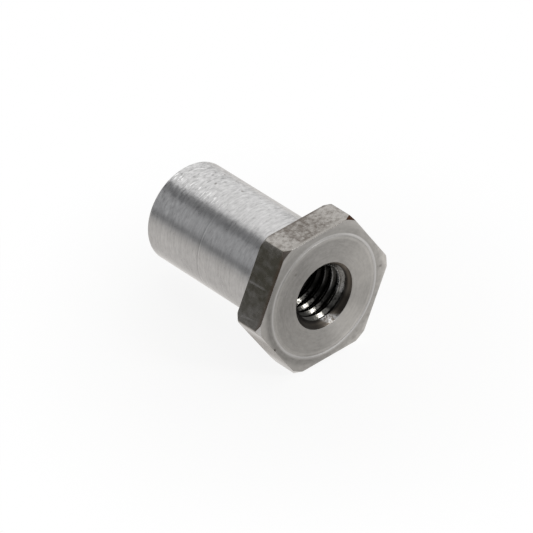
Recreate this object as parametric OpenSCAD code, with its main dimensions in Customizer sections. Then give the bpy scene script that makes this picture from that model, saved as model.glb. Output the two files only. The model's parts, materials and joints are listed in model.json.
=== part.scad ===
// Barrel nut: a thin hexagon head turned in one piece with a smooth round barrel,
// bored and threaded right through. The origin is the centre of the seat under the
// head. +X runs along the bore and out of the head's face, and one flat faces down.

/* [Head] */
// Width across the head's flats
head_af = 17; // [15:0.5:24]
// Thickness of the head, from the seat to the outer face
head_t = 4; // [2.5:0.25:10]

/* [Corner chamfers] */
// How far in from a corner the outer face's chamfer starts
face_corner_cut = 0.45; // [0.2:0.05:1.2]
// How far in from a corner the seat's chamfer starts
seat_corner_cut = 0.4; // [0.2:0.05:1.2]
// Slope of both chamfers, measured from the face
corner_angle = 50; // [25:1:60]

/* [Ring on the outer face] */
// Distance from a flat to the middle of the turned ring
ring_inset = 1; // [0.5:0.1:2.5]
// Width of the ring's groove
ring_w = 0.3; // [0.1:0.05:0.8]
// Depth of the ring's groove
ring_depth = 0.08; // [0.04:0.02:0.4]

/* [Barrel] */
// Outside diameter of the barrel
barrel_d = 12.5; // [11:0.25:14.5]
// Length of the barrel, from the seat to its free end
barrel_l = 20; // [8:0.5:60]
// Size of the edge break round the barrel's free end
end_break = 0.3; // [0.1:0.05:1]

/* [Thread] */
// Outside diameter of the thread
thread_d = 8; // [6:0.5:9]
// Pitch of the thread
thread_pitch = 1.25; // [0.5:0.05:1.5]
// How much wider than the thread each countersink's mouth is
mouth_clear = 0.4; // [0.1:0.1:1.2]
// Full angle of the countersinks at both ends
countersink_angle = 90; // [60:5:120]

/* [Hidden] */
// Distance from the axis to a corner of the hexagon
corner_r = head_af / sqrt(3);
// Radius of the stock that the head's outline is turned from, clear of the corners
blank_r = corner_r + 0.5;
// Height of the sharp triangle of a 60 degree thread, its depth, and the hole through its crests
thread_h = thread_pitch * sqrt(3) / 2;
thread_depth = 5 / 8 * thread_h;
minor_d = thread_d - 2 * thread_depth;
// Half widths of the thread's groove, at its flat bottom and at the crests
bottom_half = thread_pitch / 16;
groove_half = bottom_half + thread_depth * tan(30);
// Countersinks
mouth_d = thread_d + mouth_clear;
countersink_depth = (mouth_d - minor_d) / 2 / tan(countersink_angle / 2);
// Middle of the bore, and how many grooves fit on each side of the middle one: the last
// is the one that still has half its depth where it runs out in a countersink
bore_middle = (head_t - barrel_l) / 2;
half_lost = (mouth_d - thread_d + thread_depth) / 2 / tan(countersink_angle / 2);
grooves_each_side = floor(((head_t + barrel_l) / 2 - half_lost) / thread_pitch);
// How far the barrel reaches into the head, and how far a cut runs past a face
root = head_t / 2;
past = 1;
// Middle of the turned ring
ring_r = head_af / 2 - ring_inset;
steel = [0.66, 0.65, 0.63];
$fn = 96;

// Drop of a corner chamfer at a given radius, for a chamfer that starts cut mm inside the corner
function drop(r, cut) = (r - (corner_r - cut)) * tan(corner_angle);

// The head's turned outline: square to the axis inside, with a cone at each face that
// takes off the corners only, so that each flat ends in a shallow curve at its corners
module head_turned() {
    rotate_extrude()
        polygon([
            [0, 0],
            [corner_r - seat_corner_cut, 0],
            [blank_r, drop(blank_r, seat_corner_cut)],
            [blank_r, head_t - drop(blank_r, face_corner_cut)],
            [corner_r - face_corner_cut, head_t],
            [0, head_t]
        ]);
}

module head() {
    intersection() {
        rotate(30) cylinder(r = corner_r, h = head_t, $fn = 6);
        head_turned();
    }
}

module barrel() {
    rotate_extrude()
        polygon([
            [0, -barrel_l],
            [barrel_d / 2 - end_break, -barrel_l],
            [barrel_d / 2, end_break - barrel_l],
            [barrel_d / 2, root],
            [0, root]
        ]);
}

// A countersink that opens upwards at z = 0
module countersink() {
    widening = past * tan(countersink_angle / 2);
    translate([0, 0, -countersink_depth])
        cylinder(d1 = minor_d, d2 = mouth_d + 2 * widening, h = countersink_depth + past);
}

// Outline of one groove of the thread: down one flank, along the bottom, up the other
function groove(middle) = [
    [minor_d / 2, middle - groove_half],
    [thread_d / 2, middle - bottom_half],
    [thread_d / 2, middle + bottom_half],
    [minor_d / 2, middle + groove_half]
];

// The threaded hole. Ring grooves of the thread's true section and pitch stand for its helix
module threaded_hole() {
    middles = [
        for (k = [-grooves_each_side : grooves_each_side]) bore_middle + k * thread_pitch
    ];
    rotate_extrude()
        polygon([
            [0, -barrel_l - past],
            [minor_d / 2, -barrel_l - past],
            for (middle = middles) each groove(middle),
            [minor_d / 2, head_t + past],
            [0, head_t + past]
        ]);
}

module bore() {
    threaded_hole();
    translate([0, 0, head_t]) countersink();
    translate([0, 0, -barrel_l]) mirror([0, 0, 1]) countersink();
}

// The turned ring: a V groove in the outer face
module ring_groove() {
    slope = ring_depth / (ring_w / 2);
    rotate_extrude()
        polygon([
            [ring_r, head_t - ring_depth],
            [ring_r + ring_w / 2 + past / slope, head_t + past],
            [ring_r - ring_w / 2 - past / slope, head_t + past]
        ]);
}

module barrel_nut() {
    color(steel)
        rotate([0, 90, 0])
            difference() {
                union() {
                    head();
                    barrel();
                }
                bore();
                ring_groove();
            }
}

barrel_nut();
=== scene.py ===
"""Barrel nut: the finished steel nut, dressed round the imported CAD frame, with its stage.

The nut is one closed mesh. It is laid out as a grid: every column is the nut's outline at one
angle round the bore, and every row runs right round. The rows in the bore climb with the thread.
"""

import json
import math

import bmesh
import bpy
import numpy as np
from bpy.props import FloatProperty, FloatVectorProperty, PointerProperty
from mathutils import Matrix, Vector


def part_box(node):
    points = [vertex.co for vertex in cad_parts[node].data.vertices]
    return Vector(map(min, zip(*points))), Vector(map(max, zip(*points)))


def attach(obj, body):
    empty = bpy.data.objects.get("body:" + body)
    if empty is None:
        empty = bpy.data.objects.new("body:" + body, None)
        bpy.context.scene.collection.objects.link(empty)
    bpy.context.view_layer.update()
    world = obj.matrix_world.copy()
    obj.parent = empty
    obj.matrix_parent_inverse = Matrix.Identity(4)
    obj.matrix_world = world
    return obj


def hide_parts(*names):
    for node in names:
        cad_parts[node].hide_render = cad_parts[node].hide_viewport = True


bl_info = {
    "name": "Barrel nut",
    "version": (1, 0, 0),
    "blender": (4, 5, 0),
    "location": "View3D > Sidebar > Barrel nut",
    "description": "Builds a turned steel barrel nut with its thread, finish and stage",
    "category": "Object",
}

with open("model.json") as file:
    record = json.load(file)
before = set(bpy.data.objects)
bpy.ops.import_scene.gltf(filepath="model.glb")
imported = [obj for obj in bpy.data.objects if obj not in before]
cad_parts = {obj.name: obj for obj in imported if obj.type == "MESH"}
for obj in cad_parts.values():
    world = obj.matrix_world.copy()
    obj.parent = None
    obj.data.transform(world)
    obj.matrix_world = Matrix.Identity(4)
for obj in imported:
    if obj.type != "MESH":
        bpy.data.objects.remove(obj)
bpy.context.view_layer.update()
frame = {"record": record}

MM = 0.001
NODE = "barrel_nut"
MOUNTS = {mount["name"]: mount for mount in frame["record"]["mounts"]}
BOX_LOW, BOX_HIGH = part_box(NODE)


# Sizes and colours that a user would change


def length(name, description, default):
    return FloatProperty(
        name=name, description=description, default=default, unit="LENGTH", precision=6
    )


def angle(name, description, degrees):
    return FloatProperty(
        name=name, description=description, default=math.radians(degrees), subtype="ANGLE"
    )


def share(name, description, default):
    return FloatProperty(
        name=name, description=description, default=default, min=0.0, max=1.0, subtype="FACTOR"
    )


def colour(name, description, default):
    return FloatVectorProperty(
        name=name, description=description, default=default, min=0.0, max=1.0, subtype="COLOR"
    )


class NutSizes(bpy.types.PropertyGroup):
    """Sizes of the nut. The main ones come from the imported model."""

    face_x: length("Outer face", "Place of the head's outer face along the bore", BOX_HIGH.x)
    seat_x: length("Seat", "Place of the seat under the head", MOUNTS["seat"]["pos_m"][0])
    end_x: length("Barrel end", "Place of the barrel's free end", BOX_LOW.x)
    across_flats: length("Across flats", "Width across the head's flats", BOX_HIGH.z - BOX_LOW.z)
    barrel_r: length("Barrel radius", "Radius of the barrel", MOUNTS["barrel"]["dims"]["r_mm"] * MM)
    end_break: length("End break", "Size of the edge break at the barrel's end", 0.3 * MM)
    face_cut: length("Face corner cut", "How far inside a corner the face's chamfer starts", 0.45 * MM)
    seat_cut: length("Seat corner cut", "How far inside a corner the seat's chamfer starts", 0.4 * MM)
    corner_slope: angle("Corner slope", "Slope of both corner chamfers from the face", 50)
    corner_round: length("Corner round", "Rounding of the hexagon's upright corners", 0.16 * MM)
    edge_round: length("Edge round", "Rounding of the turned edges", 0.06 * MM)
    ring_r: length("Ring radius", "Radius of the turned ring in the face", 7.5 * MM)
    ring_w: length("Ring width", "Width of the turned ring's groove", 0.3 * MM)
    ring_depth: length("Ring depth", "Depth of the turned ring's groove", 0.05 * MM)
    crest_r: length("Crest radius", "Radius of the hole through the crests",
                    MOUNTS["thread"]["dims"]["r_mm"] * MM)
    root_r: length("Root radius", "Radius at the bottom of the thread", 4.0 * MM)
    crest_round: length("Crest round", "Rounding of the crests' edges", 0.12 * MM)
    pitch: length("Pitch", "Distance from one crest to the next", 1.25 * MM)
    mouth_r: length("Mouth radius", "Radius of each countersink at its face", 4.2 * MM)
    thread_start: angle("Thread start", "Angle at which a crest leaves the countersink's foot", 165)


class NutFinish(bpy.types.PropertyGroup):
    """Colours and roughness of the nut's surfaces."""

    barrel_steel: colour("Barrel steel", "Clean turned steel of the barrel", (0.605, 0.6, 0.597))
    # the faced ends are darker than the barrel's steel, partly as painted shade
    faced_steel: colour("Faced steel", "Faced ends of the nut", (0.355, 0.348, 0.336))
    flat_steel: colour("Flat steel", "Drawn surface of the flats", (0.44, 0.42, 0.395))
    flat_stain: colour("Flat stain", "Darker brown patches of the flats", (0.165, 0.145, 0.128))
    bore_steel: colour("Bore steel", "Oily steel of the thread", (0.15, 0.145, 0.132))
    # painted shade: the left flat's dark olive colour
    side_shade: colour("Side stain", "Dark olive film on the left flat", (0.163, 0.152, 0.12))
    corner_stain: colour(
        "Corner stain", "Brown oxide left on the corner chamfers", (0.052, 0.021, 0.009)
    )
    barrel_rough: share("Barrel roughness", "Roughness of the barrel", 0.3)
    face_rough: share("Face roughness", "Roughness of the faced ends", 0.34)
    flat_rough: share("Flat roughness", "Roughness of the flats", 0.2)
    bore_rough: share("Bore roughness", "Roughness of the thread", 0.2)


class StudioSetup(bpy.types.PropertyGroup):
    """Camera, floor and light."""

    lens: FloatProperty(
        name="Lens", description="Focal length in millimetres", default=380.0, min=1.0
    )
    camera_distance: length("Camera distance", "From the camera to the point it looks at", 0.6357)
    camera_azimuth: angle("Camera azimuth", "Turn of the camera round the nut", 52.615)
    camera_height: angle("Camera elevation", "Height of the camera over the bore's level", 35.874)
    aim: FloatVectorProperty(
        name="Aim", description="The point the camera looks at",
        default=(-0.003228, -0.002246, 0.001661), subtype="XYZ", unit="LENGTH", precision=6
    )
    floor_r: length("Floor radius", "Radius of the round floor", 0.09)
    ceiling_level: FloatProperty(
        name="Ceiling level", description="Brightness of the soft ceiling", default=1.0, min=0.0
    )
    key_level: FloatProperty(
        name="Key level", description="Brightness of the strip softbox", default=13.0, min=0.0
    )
    key_low: FloatVectorProperty(
        name="Strip's low end", description="Place of the strip softbox's lower end",
        default=(0.261, 0.12, 0.085), subtype="XYZ", unit="LENGTH", precision=4
    )
    key_high: FloatVectorProperty(
        name="Strip's high end", description="Place of the strip softbox's upper end",
        default=(0.218, 0.073, 0.184), subtype="XYZ", unit="LENGTH", precision=4
    )
    key_width: length("Strip's width", "Width of the strip softbox", 0.05)


# The nut's outline


# The turned ring's outline: places across it in half widths, depths as shares of its full depth
RING_OUTLINE = (
    (-1.35, 0.0), (-1.0, 0.04), (-0.75, 0.2), (-0.25, 0.8), (0.0, 0.92), (0.3, 0.75),
    (0.75, 0.14), (0.95, 0.02), (1.2, 0.0),
)
# Rows of the thread's section from one crest to the next
ROWS_PER_TURN = 12
# Slope of the countersinks
CONE_SLOPE = math.radians(45)
# Points closer than the first are joined and edges shorter than the second removed, in metres
WELD = 1e-6
SLIVER = 1e-7
# Edges that bend by more than this are shaded sharp
SHARP = math.radians(36)


def rounded(points, radius, steps):
    """The open line through the points, with each inner corner turned into an arc."""
    line = [np.array(points[0], float)]
    for before, corner, after in zip(points, points[1:], points[2:]):
        corner = np.array(corner, float)
        into = corner - before
        away = np.array(after, float) - corner
        into /= np.linalg.norm(into)
        away /= np.linalg.norm(away)
        turn = math.acos(max(-1.0, min(1.0, float(into @ away))))
        reach = radius * math.tan(turn / 2)
        inward = away - into
        inward /= np.linalg.norm(inward)
        centre = corner + inward * radius / math.cos(turn / 2)
        start = corner - into * reach - centre
        end = corner + away * reach - centre
        for k in range(steps + 1):
            part = k / steps
            arm = math.sin((1 - part) * turn) * start + math.sin(part * turn) * end
            line.append(centre + arm / math.sin(turn))
    line.append(np.array(points[-1], float))
    return line


def hexagon_radius(size, turn):
    """Distance from the bore's axis to the head's side at an angle round the bore."""
    half = size.across_flats / 2
    off = abs((turn - math.pi / 2 + math.pi / 6) % (math.pi / 3) - math.pi / 6)
    if half * math.tan(off) <= (half - size.corner_round) * math.tan(math.pi / 6):
        return half / math.cos(off)
    to_centre = (half - size.corner_round) / math.cos(math.pi / 6)
    short = math.pi / 6 - off
    rest = size.corner_round**2 - (to_centre * math.sin(short)) ** 2
    return to_centre * math.cos(short) + math.sqrt(max(0.0, rest))


def column_angles(size):
    """Angles of the columns: even over each flat, and close where the corner chamfers are."""
    half = size.across_flats / 2
    corner_r = half / math.cos(math.pi / 6)
    chamfers = [math.acos(half / (corner_r - cut)) for cut in (size.face_cut, size.seat_cut)]
    tangent = math.atan((half - size.corner_round) * math.tan(math.pi / 6) / half)
    flat = np.linspace(0, 24, 13)[1:]
    side = list(np.radians(flat)) + chamfers
    side += list(np.linspace(chamfers[1], tangent, 5)[1:])
    side += [(tangent + math.pi / 6) / 2]
    sector = [-math.pi / 6] + [-a for a in reversed(side)] + [0.0] + side
    first = size.thread_start
    turns = [math.pi / 2 + k * math.pi / 3 + a for k in range(6) for a in sector]
    return sorted((a - first) % (2 * math.pi) + first for a in turns)


def head_edge(size, radius, face_x, cut, out):
    """Rounded edge of the head at one face: face, corner chamfer, side. out is +1 or -1."""
    half = size.across_flats / 2
    start = half / math.cos(math.pi / 6) - cut
    along, across = math.cos(size.corner_slope), math.sin(size.corner_slope)
    soft = size.edge_round
    reach = across * start - soft
    top = np.array([reach / across + soft * along / across, -soft])
    foot = np.array([radius - soft, (reach - across * (radius - soft)) / along])
    if top[0] >= foot[0]:
        top = foot = np.array([radius - soft, -soft])
    lean = math.pi / 2 - size.corner_slope
    line = []
    for centre, first, last in ((top, math.pi / 2, lean), (foot, lean, 0.0)):
        for turn in np.linspace(first, last, 4):
            point = centre + soft * np.array([math.cos(turn), math.sin(turn)])
            line.append((point[0], face_x + out * point[1]))
    return line


def face_rows(size, mouth_edge, outer_r):
    """The outer face from the countersink to the hexagon's edge, with the turned ring."""
    middle, half = size.ring_r, size.ring_w / 2
    line = [(r, size.face_x) for r in np.linspace(mouth_edge, middle - 2 * half, 8)]
    line += [
        (middle + across * half, size.face_x - depth * size.ring_depth)
        for across, depth in RING_OUTLINE
    ]
    last = line[-1][0]
    line += [(last + (outer_r - last) * part, size.face_x) for part in (0.25, 0.5, 0.75, 0.93)]
    return line


def thread_rows(size, turn, turns):
    """Depth below the outer face and radius of every thread row at one angle."""
    pitch = size.pitch
    slope = math.tan(math.radians(60))
    height = size.root_r - size.crest_r
    crest_half = pitch / 8
    root_half = pitch / 2 - crest_half - height / slope
    near_root = pitch / 2 - root_half * 1.5
    shape = [
        (pitch / 2 - root_half * 0.6, size.root_r),
        (near_root, size.root_r - (pitch / 2 - root_half - near_root) * slope),
    ]
    soft = size.crest_round
    start = crest_half - soft * math.tan(math.radians(30))
    for bend in np.radians((60, 40, 20, 0)):
        shape.append((start + soft * math.sin(bend), size.crest_r + soft * (1 - math.cos(bend))))
    shape = [(-off, r) for off, r in shape] + [(off, r) for off, r in reversed(shape)]
    foot = size.mouth_r - size.crest_r
    climb = pitch * (turn - size.thread_start) / (2 * math.pi)
    return [
        (foot + pitch * k + off - climb, r) for k in range(-1, turns) for off, r in shape
    ]


def bore_rows(size, turn, turns, lead):
    """The hole's wall at one angle: countersink, thread, countersink. Rows that would lie
    outside the hole stop at its mouth, and rows next to a countersink slide onto its edge."""
    whole = size.face_x - size.end_x
    rows = [list(row) for row in thread_rows(size, turn, turns)]

    def cone(depth):
        return size.mouth_r - min(depth, whole - depth)

    wall = []
    for depth, radius in rows:
        depth = min(max(depth, lead), whole - lead)
        wall.append([depth, max(radius, cone(depth))])
    for k in range(len(rows) - 1):
        (d0, r0), (d1, r1) = rows[k], rows[k + 1]
        if d0 <= lead or d1 >= whole - lead:
            continue
        gap0, gap1 = cone(d0) - r0, cone(d1) - r1
        if gap0 * gap1 < 0:
            part = gap0 / (gap0 - gap1)
            target = k if part < 0.5 else k + 1
            depth = d0 + (d1 - d0) * part
            wall[target] = [depth, cone(depth)]
    return [(r, size.face_x - depth) for depth, r in wall]


BARREL, FACE, FLAT, BORE, CORNER = range(5)


def nut_column(size, turn, turns, lead):
    """One column: its points, and the finish of the strip that follows each point."""
    points, finish = [], []

    def lay(line, kind):
        points.extend(line)
        finish.extend([kind] * len(line))

    bore = bore_rows(size, turn, turns, lead)
    lay(bore, BORE)
    soft = size.edge_round
    side = hexagon_radius(size, turn)
    end = rounded(
        [
            bore[-1],
            (size.mouth_r, size.end_x),
            (size.barrel_r - size.end_break, size.end_x),
            (size.barrel_r, size.end_x + size.end_break),
            (size.barrel_r, size.end_x + 2 * size.end_break),
        ],
        soft,
        3,
    )
    lay(end[1:4], BORE)
    lay(end[4:5], FACE)
    lay([(r, size.end_x) for r in np.linspace(end[4][0], end[5][0], 6)[1:-1]], FACE)
    lay(end[5:8], FACE)
    lay(end[8:13], BARREL)
    seat_fillet = 2.5 * soft
    for x in np.linspace(size.end_x + 2 * size.end_break, size.seat_x - 3 * soft, 14):
        lay([(size.barrel_r, x)], BARREL)
    for k in range(4):
        bend = math.pi - k * math.pi / 6
        lay(
            [(
                size.barrel_r + seat_fillet * (1 + math.cos(bend)),
                size.seat_x - seat_fillet * (1 - math.sin(bend)),
            )],
            FACE,
        )
    back = head_edge(size, side, size.seat_x, size.seat_cut, -1)
    front = head_edge(size, side, size.face_x, size.face_cut, 1)
    inner = size.barrel_r + seat_fillet
    reach = back[0][0] - inner
    lay([(inner + reach * part, size.seat_x) for part in (0.15, 0.4, 0.65, 0.9)], FACE)
    lay(back[:3], FACE)
    lay(back[3:5], CORNER)
    lay(back[5:], FLAT)
    low, high = back[-1][1], front[-1][1]
    lay([(side, low + (high - low) * part) for part in (0.06, 0.3, 0.5, 0.7, 0.94)], FLAT)
    lay(list(reversed(front))[:3], FLAT)
    lay(list(reversed(front))[3:5], CORNER)
    lay(list(reversed(front))[5:], FACE)
    mouth = rounded(
        [(size.mouth_r + 1 * MM, size.face_x), (size.mouth_r, size.face_x), bore[0]], soft, 3
    )
    face = face_rows(size, mouth[1][0], front[0][0])
    lay(list(reversed(face))[:-1], FACE)
    lay(mouth[1:5], FACE)
    return points, finish


def nut_mesh(size):
    """The whole nut, with its bore along the mesh's own Z."""
    turns_round = column_angles(size)
    whole = size.face_x - size.end_x
    # how deep in the countersink the rounding of its mouth ends
    lead = size.edge_round * math.tan(CONE_SLOPE / 2) * math.cos(CONE_SLOPE)
    turns = math.ceil(whole / size.pitch) + 2
    bore_count = ROWS_PER_TURN * (turns + 1)
    columns = [nut_column(size, turn, turns, lead) for turn in turns_round]
    count = len(columns[0][0])
    vertices = []
    for turn, (points, _) in zip(turns_round, columns):
        for r, x in points:
            vertices.append((r * math.cos(turn), r * math.sin(turn), x))
    faces, kinds = [], []

    def vertex(column, row):
        """After a full turn the thread has climbed one pitch, so its rows meet the ones before."""
        if column == len(columns):
            column = 0
            if row < bore_count:
                row = max(0, row - ROWS_PER_TURN)
        return column * count + row

    for c in range(len(columns)):
        for row in range(count):
            after = (row + 1) % count
            corners = (c, row), (c, after), (c + 1, after), (c + 1, row)
            faces.append([vertex(*corner) for corner in corners])
            kinds.append(columns[c][1][row])
    mesh = bpy.data.meshes.new("turned_nut")
    mesh.from_pydata(vertices, [], faces)
    for polygon, kind in zip(mesh.polygons, kinds):
        polygon.material_index = kind
    build = bmesh.new()
    build.from_mesh(mesh)
    bmesh.ops.remove_doubles(build, verts=build.verts, dist=WELD)
    bmesh.ops.dissolve_degenerate(build, edges=build.edges, dist=SLIVER)
    bmesh.ops.recalc_face_normals(build, faces=build.faces)
    if build.calc_volume(signed=True) < 0:
        bmesh.ops.reverse_faces(build, faces=build.faces)
    open_edges = [e for e in build.edges if len(e.link_faces) != 2]
    if open_edges:
        places = [tuple(round(v / MM, 3) for v in e.verts[0].co) for e in open_edges[:6]]
        raise RuntimeError(f"the nut's mesh isn't closed at {len(open_edges)} edges: {places}")
    for face in build.faces:
        face.smooth = True
    build.to_mesh(mesh)
    build.free()
    mesh.set_sharp_from_angle(angle=SHARP)
    return mesh


# Shader maths


class Wire:
    """A socket of a shader tree. Sums and products of these add Math nodes."""

    def __init__(self, tree, socket):
        self.tree = tree
        self.socket = socket

    def maths(self, operation, other=0.0, first=False):
        """One Math node, with the other value before this one where first is true."""
        values = {0: other, 1: self} if first else {0: self, 1: other}
        return add(self.tree, "ShaderNodeMath", {"operation": operation}, values)

    def __add__(self, other):
        return self.maths("ADD", other)

    __radd__ = __add__

    def __sub__(self, other):
        return self.maths("SUBTRACT", other)

    def __rsub__(self, other):
        return self.maths("SUBTRACT", other, first=True)

    def __mul__(self, other):
        return self.maths("MULTIPLY", other)

    __rmul__ = __mul__

    def __pow__(self, other):
        return self.maths("POWER", other)

    def __abs__(self):
        return self.maths("ABSOLUTE")


def add(tree, kind, settings=None, inputs=None, output=0):
    """Any node: its settings first, then the values or links of its inputs. An output node
    has no socket to give back."""
    node = tree.nodes.new(kind)
    for name, value in (settings or {}).items():
        setattr(node, name, value)
    for name, value in (inputs or {}).items():
        if isinstance(value, Wire):
            tree.links.new(value.socket, node.inputs[name])
        else:
            node.inputs[name].default_value = value
    return Wire(tree, node.outputs[output]) if len(node.outputs) else None


def rise(value, low, high):
    """0 below low, 1 above high and smooth between."""
    return add(
        value.tree,
        "ShaderNodeMapRange",
        {"interpolation_type": "SMOOTHSTEP"},
        {"Value": value, "From Min": low, "From Max": high},
    )


def bump_at(value, middle, half):
    """1 where the value is at middle, falling smoothly to 0 half away from it."""
    return 1 - rise(abs(value - middle), half * 0.3, half)


def mix(tree, low, high, part):
    """Mixes two colours."""
    low, high = [c if isinstance(c, Wire) else (*tuple(c)[:3], 1.0) for c in (low, high)]
    return add(
        tree, "ShaderNodeMix", {"data_type": "RGBA"}, {0: part, 6: low, 7: high}, output=2
    )


def shaded(base, part):
    """The colour, brighter or darker by a factor."""
    inputs = {0: base if isinstance(base, Wire) else tuple(base)[:3], "Scale": part}
    return add(part.tree, "ShaderNodeVectorMath", {"operation": "SCALE"}, inputs)


def scaled(vector, x, y, z):
    """The vector, stretched along each axis."""
    inputs = {0: vector, 1: (x, y, z)}
    return add(vector.tree, "ShaderNodeVectorMath", {"operation": "MULTIPLY"}, inputs)


def noise(vector, scale=1.0, detail=2.0, roughness=0.5, distortion=0.0):
    """Smooth noise, 0.5 on average."""
    return add(
        vector.tree,
        "ShaderNodeTexNoise",
        None,
        {"Vector": vector, "Scale": scale, "Detail": detail, "Roughness": roughness,
         "Distortion": distortion},
    )


# Finishes


class Surface:
    """A new steel material and the places that its patterns use, in millimetres: p is the
    point, x and y lie across the bore, axial runs along it and radial out from its axis."""

    def __init__(self, name):
        self.material = bpy.data.materials.new(name)
        self.material.use_nodes = True
        self.tree = self.material.node_tree
        self.tree.nodes.clear()
        place = add(self.tree, "ShaderNodeTexCoord", output="Object")
        self.p = add(
            self.tree, "ShaderNodeVectorMath", {"operation": "SCALE"}, {0: place, "Scale": 1 / MM}
        )
        self.x, self.y, self.axial = [
            add(self.tree, "ShaderNodeSeparateXYZ", None, {0: self.p}, output=k) for k in range(3)
        ]
        self.radial = (self.x * self.x + self.y * self.y) ** 0.5

    def rings(self, along, across, **settings):
        """Noise drawn out into turning marks round a face, across lines to a millimetre."""
        place = add(
            self.tree, "ShaderNodeCombineXYZ", None,
            {0: self.x * along, 1: self.y * along, 2: self.radial * across},
        )
        return noise(place, **settings)

    def bands(self, along, across, **settings):
        """Noise drawn out into turning marks round the barrel."""
        return noise(scaled(self.p, along, along, across), **settings)

    def away(self, x, y, axial=None):
        """Distance from a point, or from a line along the bore where axial isn't given."""
        squares = abs(self.x - x) ** 2 + abs(self.y - y) ** 2
        if axial is not None:
            squares = squares + abs(self.axial - axial) ** 2
        return squares**0.5

    def bump(self, height, microns, normal=None):
        """Relief of the given height over the whole pattern, on top of another relief."""
        inputs = {"Height": height, "Distance": microns * 0.001 * MM, "Strength": 1.0}
        if normal is not None:
            inputs["Normal"] = normal
        return add(self.tree, "ShaderNodeBump", None, inputs)

    def steel(self, base, rough, normal, anisotropic=0.0, rotation=0.0, coat=0.0, metallic=1.0):
        """Adds the shader and the material's output, and gives back the material."""
        inputs = {
            "Base Color": base,
            "Metallic": metallic,
            "Roughness": rough,
            "Normal": normal,
            "Anisotropic": anisotropic,
            "Anisotropic Rotation": rotation,
            "Coat Weight": coat,
            "Coat Roughness": 0.12,
        }
        shader = add(self.tree, "ShaderNodeBsdfPrincipled", None, inputs)
        add(self.tree, "ShaderNodeOutputMaterial", None, {"Surface": shader})
        return self.material


# Rotation of the brushed highlights, in turns
QUARTER_TURN = 0.25
# Sizes that the finishes are laid out by, in millimetres
BARREL_R = 6.25
HALF_FLATS = 8.5
PITCH = 1.25
BORE_MIDDLE = -8
BORE_HALF = 12
# Pits in the barrel: place along the bore and angle round it, in millimetres and degrees
PITS = ((-11.5, 75), (-15.9, 64.5), (-14.6, 87.5))
# Fine tool lines round the barrel: place along the bore and change of brightness
TOOL_LINES = ((-10.72, 0.14), (-10.9, -0.3), (-11.1, -0.06))
# Pits in the outer face: place across it, radius and strength
FACE_PITS = ((-3.8, 4.95, 0.2, 0.35), (-7.72, -3.5, 0.2, 0.9), (8.4, -0.2, 0.2, 0.5))
# Scratches on the left flat, from end to end: along the bore, then along the flat
SCRATCHES = ((0.1, 0.15, 3.6, 0.05), (0.7, 4.15, 3.2, 3.85))
# Shares of the stain's red, green and blue left on a countersink
CONE_TINT = (0.46, 0.45, 0.425)


def barrel_material(finish):
    """Turned barrel: grain drawn out by the tool, short scores, painted glints, fine tool lines and
    pits.
    """
    s = Surface("turned_barrel_steel")
    grain = s.bands(1.3, 3.0, detail=4.0, roughness=0.6)
    feed = s.bands(0.2, 5.0, detail=3.0, roughness=0.6)
    patch = noise(s.p, 0.35, detail=3.0)
    upper = rise(s.y, 4.4, 5.9)
    # wear: the marks are coarser towards the barrel's far end
    wear_and_highlight = rise(-11 - s.axial, 0.0, 8.0)
    rough_side = rise(s.x, 0.0, 4.4) * (0.4 + 1.2 * patch)
    coarse = (0.3 + 0.9 * rough_side + 0.7 * wear_and_highlight) * upper
    streaked = bump_at(s.x, -4.5, 1.3) * rise(s.y, 2.5, 3.5) * (0.4 + 0.6 * wear_and_highlight)
    scores = rise(s.bands(1.2, 3.6, detail=3.0, distortion=0.5), 0.6, 0.72) * coarse
    contrast = 0.55 + 1.2 * coarse + 0.6 * streaked
    tone = 0.69 + contrast * (grain - 0.5) + 0.4 * feed + 0.2 * patch - 0.35 * scores
    for place, change in TOOL_LINES:
        shown = rise(feed + 0.3 * grain, 0.45, 0.75) * (1 - 0.7 * upper)
        tone = tone + bump_at(s.axial, place, 0.12) * change * shown
    # painted glints: short light dashes along the bright zone's edge, towards the far end
    glints = rise(s.bands(1.0, 4.4, detail=2.0), 0.54, 0.64)
    glints = glints * bump_at(s.x, -1.7, 1.0) * rise(s.y, 5, 6)
    tone = tone + 0.5 * glints * rise(-9 - s.axial, 0.0, 4.0)
    base = shaded(finish.barrel_steel, tone)
    for axial, degrees in PITS:
        turn = math.radians(degrees)
        away = s.away(BARREL_R * math.cos(turn), BARREL_R * math.sin(turn), axial)
        spot = 0.8 * (1 - rise(away + 0.3 * grain, 0.2, 0.4))
        base = mix(s.tree, base, finish.flat_stain, spot)
    rough = finish.barrel_rough - 0.1 + 0.14 * grain + 0.06 * patch
    normal = s.bump(grain * (0.45 + 0.9 * coarse) + 0.5 * scores, 30.0)
    normal = s.bump(feed, 6.0, normal)
    return s.steel(base, rough, normal, 0.5, QUARTER_TURN)


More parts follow.
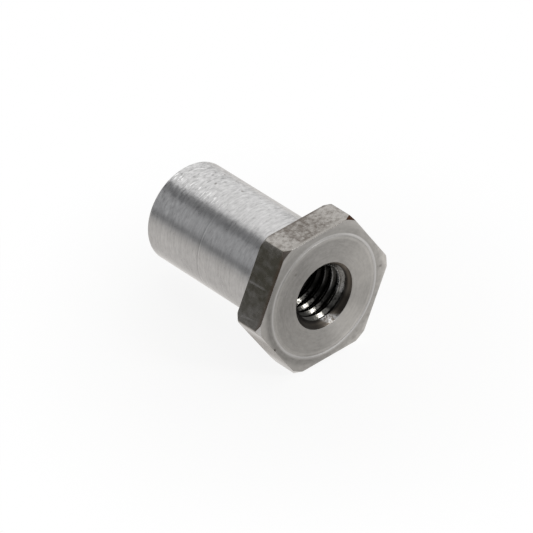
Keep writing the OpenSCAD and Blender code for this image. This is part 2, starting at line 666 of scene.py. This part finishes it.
def face_material(finish):
    """Faced ends: concentric tool marks and grit, a turned ring with a painted highlight, painted
    light and shade by place, scuffs and pits.
    """
    s = Surface("faced_steel")
    marks = s.rings(0.9, 3.0, detail=4.0, roughness=0.62)
    fine = s.rings(0.2, 8.0, detail=2.0)
    cloud = noise(s.p, 0.3, detail=3.0)
    ring = bump_at(s.radial, 7.64, 0.21)
    inner = bump_at(s.radial, 7.22, 0.22)
    left = rise(0 - s.x, 0.0, 5.0)
    # painted shade: a darker band just outside the ring, towards the lower left
    outside = rise(s.radial, 7.85, 8.0) * (1 - rise(s.radial, 8.3, 8.6))
    outside = outside * rise(0 - s.x - 0.6 * s.y, 0.0, 8.0)
    # painted highlight on the ring's inner flank, towards the upper left
    flank = bump_at(s.radial, 7.43, 0.13) * rise(0.5 * s.y - s.x, -1.0, 3.0)
    scuffed = rise(s.radial, 7.6, 8.4) * rise(s.x - s.y, -4.0, 10.0)
    scuffs = noise(s.p, 1.6, detail=3.0, roughness=0.6)
    grit = noise(s.p, 2.2, detail=3.0, roughness=0.6)
    tone = 0.42 + 0.44 * marks + 0.14 * fine + 0.24 * cloud + 0.27 * grit
    tone = tone - 0.16 * outside + 0.16 * inner + 0.3 * flank
    # painted light: the face is lighter towards the hexagon's corners, most on the right, with a
    # lighter band outside the ring on the right
    sides = 0.18 + 0.35 * rise(s.x, 3.0, 8.0) + 0.16 * rise(0 - s.x, 6.0, 8.5)
    edge = rise(s.radial, 8.3, 9.1) * sides
    band = 0.11 * rise(s.radial, 7.9, 8.1) * (1 - rise(s.radial, 8.5, 8.9))
    edge = edge + band * rise(s.x, 4.0, 7.5)
    tone = tone + scuffed * 0.6 * (scuffs - 0.44) + edge
    # painted highlights to the lower right and on the right, and painted shade on the left and above
    # and below the bore
    sheen = rise(0.5 * s.x - 0.87 * s.y, 2.0, 4.5)
    sheen = sheen * (1 - rise(abs(0.87 * s.x + 0.5 * s.y), 0.8, 3.2))
    right = rise(s.x, 2.5, 5.5) * rise(s.y, -2.5, -0.5) * (1 - rise(s.y, 2.5, 5.0))
    left_shade = rise(0 - s.x, 0.0, 3.0) * rise(s.y, -3.0, 1.0) * (1 - rise(s.radial, 6.3, 7.0))
    above = rise(s.y, 1.5, 4.5) * (1 - rise(abs(s.x), 2.5, 5.0))
    below = 0.5 * rise(0 - s.y, 3.0, 4.5) * bump_at(s.x, -0.3, 2.4)
    tone = tone + (0.22 * sheen + 0.13 * right) * (1 - rise(s.radial, 7.4, 8.0)) - 0.1 * left_shade
    tone = tone - 0.11 * (above + below) * (1 - rise(s.radial, 6.8, 7.4))
    base = shaded(finish.faced_steel, tone)
    # painted highlight: the turned ring is mixed towards the barrel's lighter steel, less on its left,
    # at the bottom and at the top
    low = rise(0 - s.y, 4.5, 7.5)
    high = rise(s.y, 3.0, 7.0) * (1 - rise(s.x, 2.0, 5.0))
    base = mix(s.tree, base, finish.barrel_steel, ring * (1 - 0.25 * left - 0.5 * low - 0.45 * high))
    base = mix(s.tree, base, finish.flat_stain, scuffed * 0.08 * rise(0.95 - scuffs, 0.4, 0.58))
    front = rise(s.axial, 3.0, 3.5)
    pit_stain = [c * 0.5 for c in finish.flat_stain]
    for x, y, radius, strength in FACE_PITS:
        away = s.away(x, y) + 0.2 * (marks - 0.5)
        spot = front * strength * (1 - rise(away, radius * 0.4, radius * 1.4))
        base = mix(s.tree, base, pit_stain, spot)
    rough = finish.face_rough + 0.08 * cloud + 0.1 * marks + 0.14 * ring
    # the rounded edges of the outer face stay smooth
    smooth_edge = bump_at(s.axial, 3.955, 0.045)
    normal = s.bump(marks * (1 - smooth_edge), 7.0)
    normal = s.bump(fine * (1 - smooth_edge), 1.5, normal)
    return s.steel(base, rough, normal, 0.4, QUARTER_TURN)


def flat_material(finish):
    """Drawn hexagon bar: mottled grey-brown and lighter at its ends on top, with a rubbed front edge
    that is partly a painted highlight, painted lighter on the lower flats, and on the left painted
    darker as shade, smoother and with two scratches."""
    s = Surface("drawn_flat_steel")
    mottle = noise(s.p, 2.3, detail=3.0, roughness=0.6)
    patch = noise(s.p, 0.5, detail=2.0)
    # distance from the middle of a flat, across the bore
    off_middle = (s.radial * s.radial - HALF_FLATS**2).maths("MAXIMUM", 0.0) ** 0.5
    ends = rise(off_middle, 0.5, 4.4)
    upper = 0.3 + 2.6 * (mottle - 0.5) + 0.9 * (patch - 0.5) + 0.56 * ends
    # painted light: the lower flats are lighter
    upper = upper + 0.35 * rise(0 - s.y, 0.0, 1.0)
    # rubbed smooth and lighter along the front edge, partly a painted highlight
    rubbed_and_lit = rise(s.axial, 3.5, 3.85)
    upper = upper - 0.5 * (1 - rise(s.axial, 0.1, 0.45))
    upper = upper + 0.75 * rubbed_and_lit * (0.85 - upper)
    drawn = noise(scaled(s.p, 2.4, 2.4, 0.4), 1.0, detail=3.0)
    blotch = noise(s.p, 1.1, detail=3.0)
    lower_end = rise(0 - s.y, -6.0, 0.6)
    along = 0 - 0.5 * s.x - math.cos(math.radians(30)) * s.y
    side = 0.03 + 0.5 * lower_end + 0.4 * (drawn - 0.5) + 1.4 * (blotch - 0.5)
    side = side + 0.12 * rise(s.y, 7.2, 8.2) + 0.15 * rise(along, 3.4, 4.4)
    for x0, s0, x1, s1 in SCRATCHES:
        line = s0 + (s.axial - x0) * ((s1 - s0) / (x1 - x0))
        reach = rise(s.axial, x0 - 0.1, x0 + 0.3) * (1 - rise(s.axial, x1 - 1.6, x1 + 0.1))
        side = side + 0.6 * reach * bump_at(along - line, 0.0, 0.17)
    # painted shade: the left flat is darker, over its own mottle, scratches and brown front edge
    left = rise(0 - s.x, 4.5, 5.3) * rise(s.y, -0.2, 0.3)
    base = mix(s.tree, finish.flat_stain, finish.flat_steel, upper)
    # painted light: the lower flats are lighter still towards their ends, towards bright steel
    lower_flat_light = rise(off_middle, 1.5, 4.2) * rise(0 - s.y, 0.0, 1.0)
    base = mix(s.tree, base, [c * 1.33 for c in finish.barrel_steel], lower_flat_light)
    dark = mix(s.tree, finish.side_shade, finish.flat_steel, side)
    dark = mix(s.tree, dark, [c * 3 for c in finish.corner_stain], 0.33 * rise(s.axial, 3.2, 3.9))
    base = mix(s.tree, base, dark, left)
    rough = finish.flat_rough + 0.12 * mottle
    normal = s.bump(mottle * (1 - 0.5 * left) * (1 - rubbed_and_lit), 18.0)
    normal = s.bump(drawn * (1 - rubbed_and_lit), 6.0, normal)
    return s.steel(base, rough, normal)


def bore_material(finish):
    """Bore: a thread black with oil and darker deeper in as painted shade, rubbed metal and painted
    light on its right side, painted highlights on the first turns, lighter steel where the lamp's
    highlights fall, and stain-coloured countersinks with painted light and shade round them."""
    s = Surface("oily_thread_steel")
    cut = s.bands(0.6, 4.0, detail=3.0)
    speck = noise(s.p, 3.2, detail=3.0, roughness=0.7)
    cloud = noise(s.p, 0.9, detail=3.0)
    depth = rise(s.axial, 0.4, 2.6)
    right = rise(s.x, -0.5, 2.5)
    crest = 1 - rise(s.radial, 3.36, 3.46)
    # rubbed metal and painted light: the right side's flanks and crests are lighter near the mouth
    rubbed_and_lit = right * (0.6 * rise(s.axial, 1.4, 2.6) + 0.9 * crest * depth)
    rubbed_and_lit = rubbed_and_lit * rise(cloud + speck, 0.8, 1.15)
    # painted highlight: lighter, smoother steel at the bottom of the thread, only where the lamp's
    # highlights fall
    highlight_zone = rise(0 - s.y, 2.5, 3.3) * rise(s.x, -1.0, 0.0)
    # painted shade: the oily black thread is darker still deeper into the bore
    base = shaded([c * 0.3 for c in finish.bore_steel], 0.3 + 0.7 * depth)
    base = mix(s.tree, base, [c * 1.5 for c in finish.bore_steel], rubbed_and_lit)
    base = mix(s.tree, base, finish.bore_steel, highlight_zone * rise(speck, 0.38, 0.54))
    # 1 on the countersinks, and the angle round the bore in degrees, 90 at the top
    entry = 1 - rise(s.radial + BORE_HALF - abs(s.axial - BORE_MIDDLE), 4.24, 4.36)
    turn = s.y.maths("ARCTAN2", s.x) * (180 / math.pi)
    # painted highlights on the first turns: the crests' edges, the first crest and a patch of its
    # flank, in lighter steel that is less metallic
    climb = s.axial - turn * (PITCH / 360)
    first = rise(s.axial, 1.9, 2.2)
    fading = rise(s.axial, -0.6, 0.0) * (0.3 + 0.7 * rise(s.axial, 0.6, 1.2)) * (1 - 0.8 * first)
    edges = bump_at(s.radial, 3.4, 0.11) * bump_at(turn, -8, 34) * fading
    first_crest_highlight = (1 - rise(s.radial, 3.36, 3.42)) * rise(climb, 2.34, 2.54) * rise(turn, -38, -16)
    first_crest_highlight = first_crest_highlight * rise(s.x, -0.5, 1.0)
    flank = rise(s.radial, 3.44, 3.66) * (1 - rise(s.radial, 3.86, 3.96)) * first
    patch = 0.7 * bump_at(turn, -19, 14) + 0.35 * bump_at(turn, 4, 42)
    crest_highlights = 0.55 * edges + (0.9 * first_crest_highlight + flank * patch) * first
    crest_highlights = crest_highlights * (0.3 + 0.7 * rise(speck + 0.4 * cloud, 0.5, 0.72))
    base = mix(s.tree, base, [c * 0.7 for c in finish.barrel_steel], crest_highlights)
    # painted light: the countersinks are lighter on the upper right
    lit_side = rise(turn, 18, 40) * (1 - rise(turn, 74, 84))
    # painted shade: the countersinks are darker at some angles round the bore, equal on both sides of
    # 180 degrees
    shade = 0.7 * (1 - rise(turn, -110, -88)) + 0.55 * bump_at(turn, -42, 26)
    shade = shade + 0.7 * rise(turn, 76, 90)
    shade = shade + 0.15 * bump_at(turn, 92, 20) - 0.5 * bump_at(turn, 56, 17)
    shade = shade + 0.6 * bump_at(turn, 0, 34) * (1 - rise(s.radial, 3.7, 3.95))
    # painted highlight: the countersink is lighter, speckled steel where the lamp's highlight falls
    wear_and_highlight = bump_at(turn - 18 * (s.radial - 4), -75, 15) * rise(speck, 0.35, 0.6)
    # painted shade at the countersink's foot next to the thread, and a painted lighter band further
    # out
    lip = s.radial - 0.047 * s.y
    lip_tone = 0.4 + 0.6 * rise(lip, 3.66, 3.86) + 0.3 * bump_at(lip, 3.93, 0.14)
    cone_steel = [c * part for c, part in zip(finish.flat_stain, CONE_TINT)]
    cone = shaded(cone_steel, (1 + 0.8 * lit_side - shade) * lip_tone)
    cone = mix(s.tree, cone, [c * 0.42 for c in finish.barrel_steel], wear_and_highlight)
    base = mix(s.tree, base, cone, entry * 0.97)
    rough = (finish.bore_rough - 0.12 + 0.2 * speck) * (1 - 0.55 * highlight_zone) + 0.22 * entry
    normal = s.bump(cut, 6.0)
    normal = s.bump(speck * (1 - 0.65 * highlight_zone), 28.0, normal)
    coat = 0.08 + 0.22 * depth * (1 - entry)
    metallic = 1 - 0.7 * crest_highlights * (1 - entry)
    return s.steel(base, rough, normal, coat=coat, metallic=metallic)


def corner_material(finish):
    """Corner chamfers: brown oxide on the top corner, a greyer stain on the upper left one, plain
    turned steel elsewhere, painted lighter on the lower corners."""
    s = Surface("corner_chamfer_steel")
    marks = s.rings(0.6, 4.0, detail=3.0)
    cloud = noise(s.p, 2.2, detail=3.0)
    # painted light: the lower corners are lighter
    base = shaded(finish.barrel_steel, 0.88 + 0.4 * marks + 0.6 * rise(0 - s.y, 4.0, 8.0))
    base = mix(s.tree, base, finish.flat_stain, rise(cloud, 0.5, 0.7) * 0.4)
    high = rise(s.y, 5.0, 7.0)
    base = mix(s.tree, base, [c * 0.85 for c in finish.flat_stain], high)
    base = mix(s.tree, base, finish.corner_stain, high * rise(s.x, 0.0, 2.0))
    rough = 0.34 + 0.2 * cloud
    normal = s.bump(marks, 4.0)
    return s.steel(base, rough, normal)


# Operators


class OBJECT_OT_turned_nut(bpy.types.Operator):
    """Build the nut: head, barrel and threaded bore in one mesh, with their finishes"""

    bl_idname = "object.turned_nut"
    bl_label = "Turned nut"

    def execute(self, context):
        size, finish = context.scene.nut_sizes, context.scene.nut_finish
        mesh = nut_mesh(size)
        for make in (barrel_material, face_material, flat_material, bore_material, corner_material):
            mesh.materials.append(make(finish))
        nut = bpy.data.objects.new("turned_nut", mesh)
        context.scene.collection.objects.link(nut)
        # the mesh's own X, Y and Z are the frame's Y, Z and X
        nut.matrix_world = Matrix(((0, 0, 1, 0), (1, 0, 0, 0), (0, 1, 0, 0), (0, 0, 0, 1)))
        weigh = nut.modifiers.new("even_faces", "WEIGHTED_NORMAL")
        weigh.keep_sharp = True
        context.view_layer.objects.active = nut
        bpy.ops.object.modifier_apply(modifier=weigh.name)
        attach(nut, "root")
        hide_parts(NODE)
        return {"FINISHED"}


def floor_tilt(size):
    """Slope of the floor that the nut lies on: the head's edge and the barrel's end touch it."""
    return math.atan(
        (size.across_flats / 2 - size.barrel_r) / (size.seat_x - size.end_x - size.end_break)
    )


def facing(right, back, place):
    """Placement of a camera or lamp that looks away from back, with right on its right."""
    turn = Matrix((right, back.cross(right), back)).transposed()
    return Matrix.Translation(place) @ turn.to_4x4()


# Brightness of the light behind the nut, before the first step towards its front
FIRST_LIGHT = 0.7
# Width of the camera's sensor, in millimetres
SENSOR_WIDTH = 36


def studio_world(studio):
    """Soft light by direction round the nut's axis, and white behind it for the camera."""
    world = bpy.data.worlds.new("studio")
    bpy.context.scene.world = world
    world.use_nodes = True
    tree = world.node_tree
    tree.nodes.clear()
    way = add(tree, "ShaderNodeTexCoord", output="Generated")
    x, y, z = [add(tree, "ShaderNodeSeparateXYZ", None, {0: way}, output=k) for k in range(3)]
    toward_front = (0 - y).maths("ARCTAN2", z) * (180 / math.pi)
    light = level = FIRST_LIGHT
    # each step: its angle from straight up, half its width, and the brightness past it
    for edge, soft, new in (
        (-88, 24, studio.ceiling_level), (6, 4, 0.16), (33, 6, 0.45), (76, 5, 0.15), (91, 6, 0.72)
    ):
        light = light + (new - level) * rise(toward_front, edge - soft, edge + soft)
        level = new
    light = light * (1 - 0.4 * rise(x, 0.7, 0.95))
    tint = mix(tree, (0.94, 0.96, 1.0), (1, 1, 1), light)
    lit = add(tree, "ShaderNodeBackground", None, {"Color": shaded(tint, light), "Strength": 1.0})
    white = add(tree, "ShaderNodeBackground", None, {"Color": (1, 1, 1, 1), "Strength": 1.0})
    seen = add(tree, "ShaderNodeLightPath", output="Is Camera Ray")
    shader = add(tree, "ShaderNodeMixShader", None, {0: seen, 1: lit, 2: white})
    add(tree, "ShaderNodeOutputWorld", None, {"Surface": shader})


def floor_material(studio):
    """Pale floor that keeps the shadow and fades to the background's white at its rim.
    Its underside is clear, so that the nut shows from below too."""
    material = bpy.data.materials.new("pale_floor")
    material.use_nodes = True
    tree = material.node_tree
    tree.nodes.clear()
    place = add(tree, "ShaderNodeTexCoord", output="Object")
    away = add(tree, "ShaderNodeVectorMath", {"operation": "LENGTH"}, {0: place}, output="Value")
    rim = rise(away, studio.floor_r * 0.15, studio.floor_r * 0.45)
    camera = add(tree, "ShaderNodeLightPath", output="Is Camera Ray")
    gloss = add(tree, "ShaderNodeLightPath", output="Is Glossy Ray")
    through = add(tree, "ShaderNodeLightPath", output="Is Transmission Ray")
    place = add(tree, "ShaderNodeNewGeometry", output="Position")
    x, y = [add(tree, "ShaderNodeSeparateXYZ", None, {0: place}, output=k) for k in range(2)]
    # how bright the floor looks in the metal: by its place beside, behind and beyond the nut
    near = rise(y - 0.4 * (x + abs(x)), -7 * MM, -0.5 * MM)
    behind = rise(0 - x, 8 * MM, 16 * MM)
    far = rise(y, 3 * MM, 10 * MM) * rise(0 - x, 2 * MM, 10 * MM)
    lit = (0.33 + 0.66 * behind) * near * (1 - far) + 0.125 * far
    mirrored = 0.45 + 0.24 * rise(y, -60 * MM, -14 * MM) + lit
    lift = camera * (0.88 + 0.12 * rim) + (gloss + through) * 0.9
    plain = add(tree, "ShaderNodeBsdfDiffuse", None, {"Color": (0.93, 0.92, 0.9, 1)})
    warm = mix(tree, (1, 0.97, 0.94), (1, 1, 1), camera)
    glow = shaded(warm, mirrored + (1 - mirrored) * camera)
    white = add(tree, "ShaderNodeEmission", None, {"Color": glow, "Strength": 1.0})
    top = add(tree, "ShaderNodeMixShader", None, {0: lift, 1: plain, 2: white})
    clear = add(tree, "ShaderNodeBsdfTransparent")
    under = add(tree, "ShaderNodeNewGeometry", output="Backfacing")
    shader = add(tree, "ShaderNodeMixShader", None, {0: under, 1: top, 2: clear})
    add(tree, "ShaderNodeOutputMaterial", None, {"Surface": shader})
    return material


class OBJECT_OT_studio(bpy.types.Operator):
    """Set up the floor, the light and the camera"""

    bl_idname = "object.nut_studio"
    bl_label = "Studio"

    def execute(self, context):
        size, studio = context.scene.nut_sizes, context.scene.nut_studio
        context.scene.view_settings.view_transform = "Standard"
        studio_world(studio)
        tilt = floor_tilt(size)
        up = Vector((math.sin(tilt), 0, math.cos(tilt)))

        build = bmesh.new()
        bmesh.ops.create_circle(build, cap_ends=True, segments=96, radius=studio.floor_r)
        mesh = bpy.data.meshes.new("floor")
        build.to_mesh(mesh)
        build.free()
        mesh.materials.append(floor_material(studio))
        floor = bpy.data.objects.new("floor", mesh)
        context.scene.collection.objects.link(floor)
        touch = Vector((size.seat_x, 0, -size.across_flats / 2))
        clear_by = 0.005 * MM
        lie = up.to_track_quat("Z", "Y").to_matrix().to_4x4()
        floor.matrix_world = Matrix.Translation(touch - up * clear_by) @ lie

        low, high = Vector(studio.key_low), Vector(studio.key_high)
        middle = (low + high) / 2
        key = bpy.data.lights.new("key_softbox", "AREA")
        key.shape = "RECTANGLE"
        key.size, key.size_y = studio.key_width, (high - low).length
        key.energy = studio.key_level * math.pi * key.size * key.size_y
        lamp = bpy.data.objects.new("key_softbox", key)
        context.scene.collection.objects.link(lamp)
        across = (high - low).cross(middle).normalized()
        lamp.matrix_world = facing(across, middle.normalized(), middle)
        lamp.visible_camera = False

        around, over = studio.camera_azimuth, studio.camera_height
        back = Vector((
            math.sin(around) * math.cos(over),
            -math.cos(around) * math.cos(over),
            math.sin(over),
        ))
        right = up.cross(back).normalized()
        data = bpy.data.cameras.new("camera")
        data.lens = studio.lens
        data.sensor_width = SENSOR_WIDTH
        data.clip_start = 0.01
        data.clip_end = 10
        camera = bpy.data.objects.new("camera", data)
        context.scene.collection.objects.link(camera)
        camera.matrix_world = facing(right, back, Vector(studio.aim) + back * studio.camera_distance)
        context.scene.camera = camera
        return {"FINISHED"}


class VIEW3D_PT_barrel_nut(bpy.types.Panel):
    """The nut's sizes, finish and stage"""

    bl_label = "Barrel nut"
    bl_idname = "VIEW3D_PT_barrel_nut"
    bl_space_type = "VIEW_3D"
    bl_region_type = "UI"
    bl_category = "Barrel nut"

    def draw(self, context):
        self.layout.operator(OBJECT_OT_turned_nut.bl_idname)
        self.layout.operator(OBJECT_OT_studio.bl_idname)
        for group in ("nut_sizes", "nut_finish", "nut_studio"):
            box = self.layout.box()
            settings = getattr(context.scene, group)
            for name in settings.__annotations__:
                box.prop(settings, name)


CLASSES = (
    NutSizes,
    NutFinish,
    StudioSetup,
    OBJECT_OT_turned_nut,
    OBJECT_OT_studio,
    VIEW3D_PT_barrel_nut,
)


def register():
    for cls in CLASSES:
        bpy.utils.register_class(cls)
    bpy.types.Scene.nut_sizes = PointerProperty(type=NutSizes)
    bpy.types.Scene.nut_finish = PointerProperty(type=NutFinish)
    bpy.types.Scene.nut_studio = PointerProperty(type=StudioSetup)


def unregister():
    del bpy.types.Scene.nut_studio
    del bpy.types.Scene.nut_finish
    del bpy.types.Scene.nut_sizes
    for cls in reversed(CLASSES):
        bpy.utils.unregister_class(cls)


def main():
    register()
    bpy.ops.object.turned_nut()
    bpy.ops.object.nut_studio()


if __name__ == "__main__":
    main()
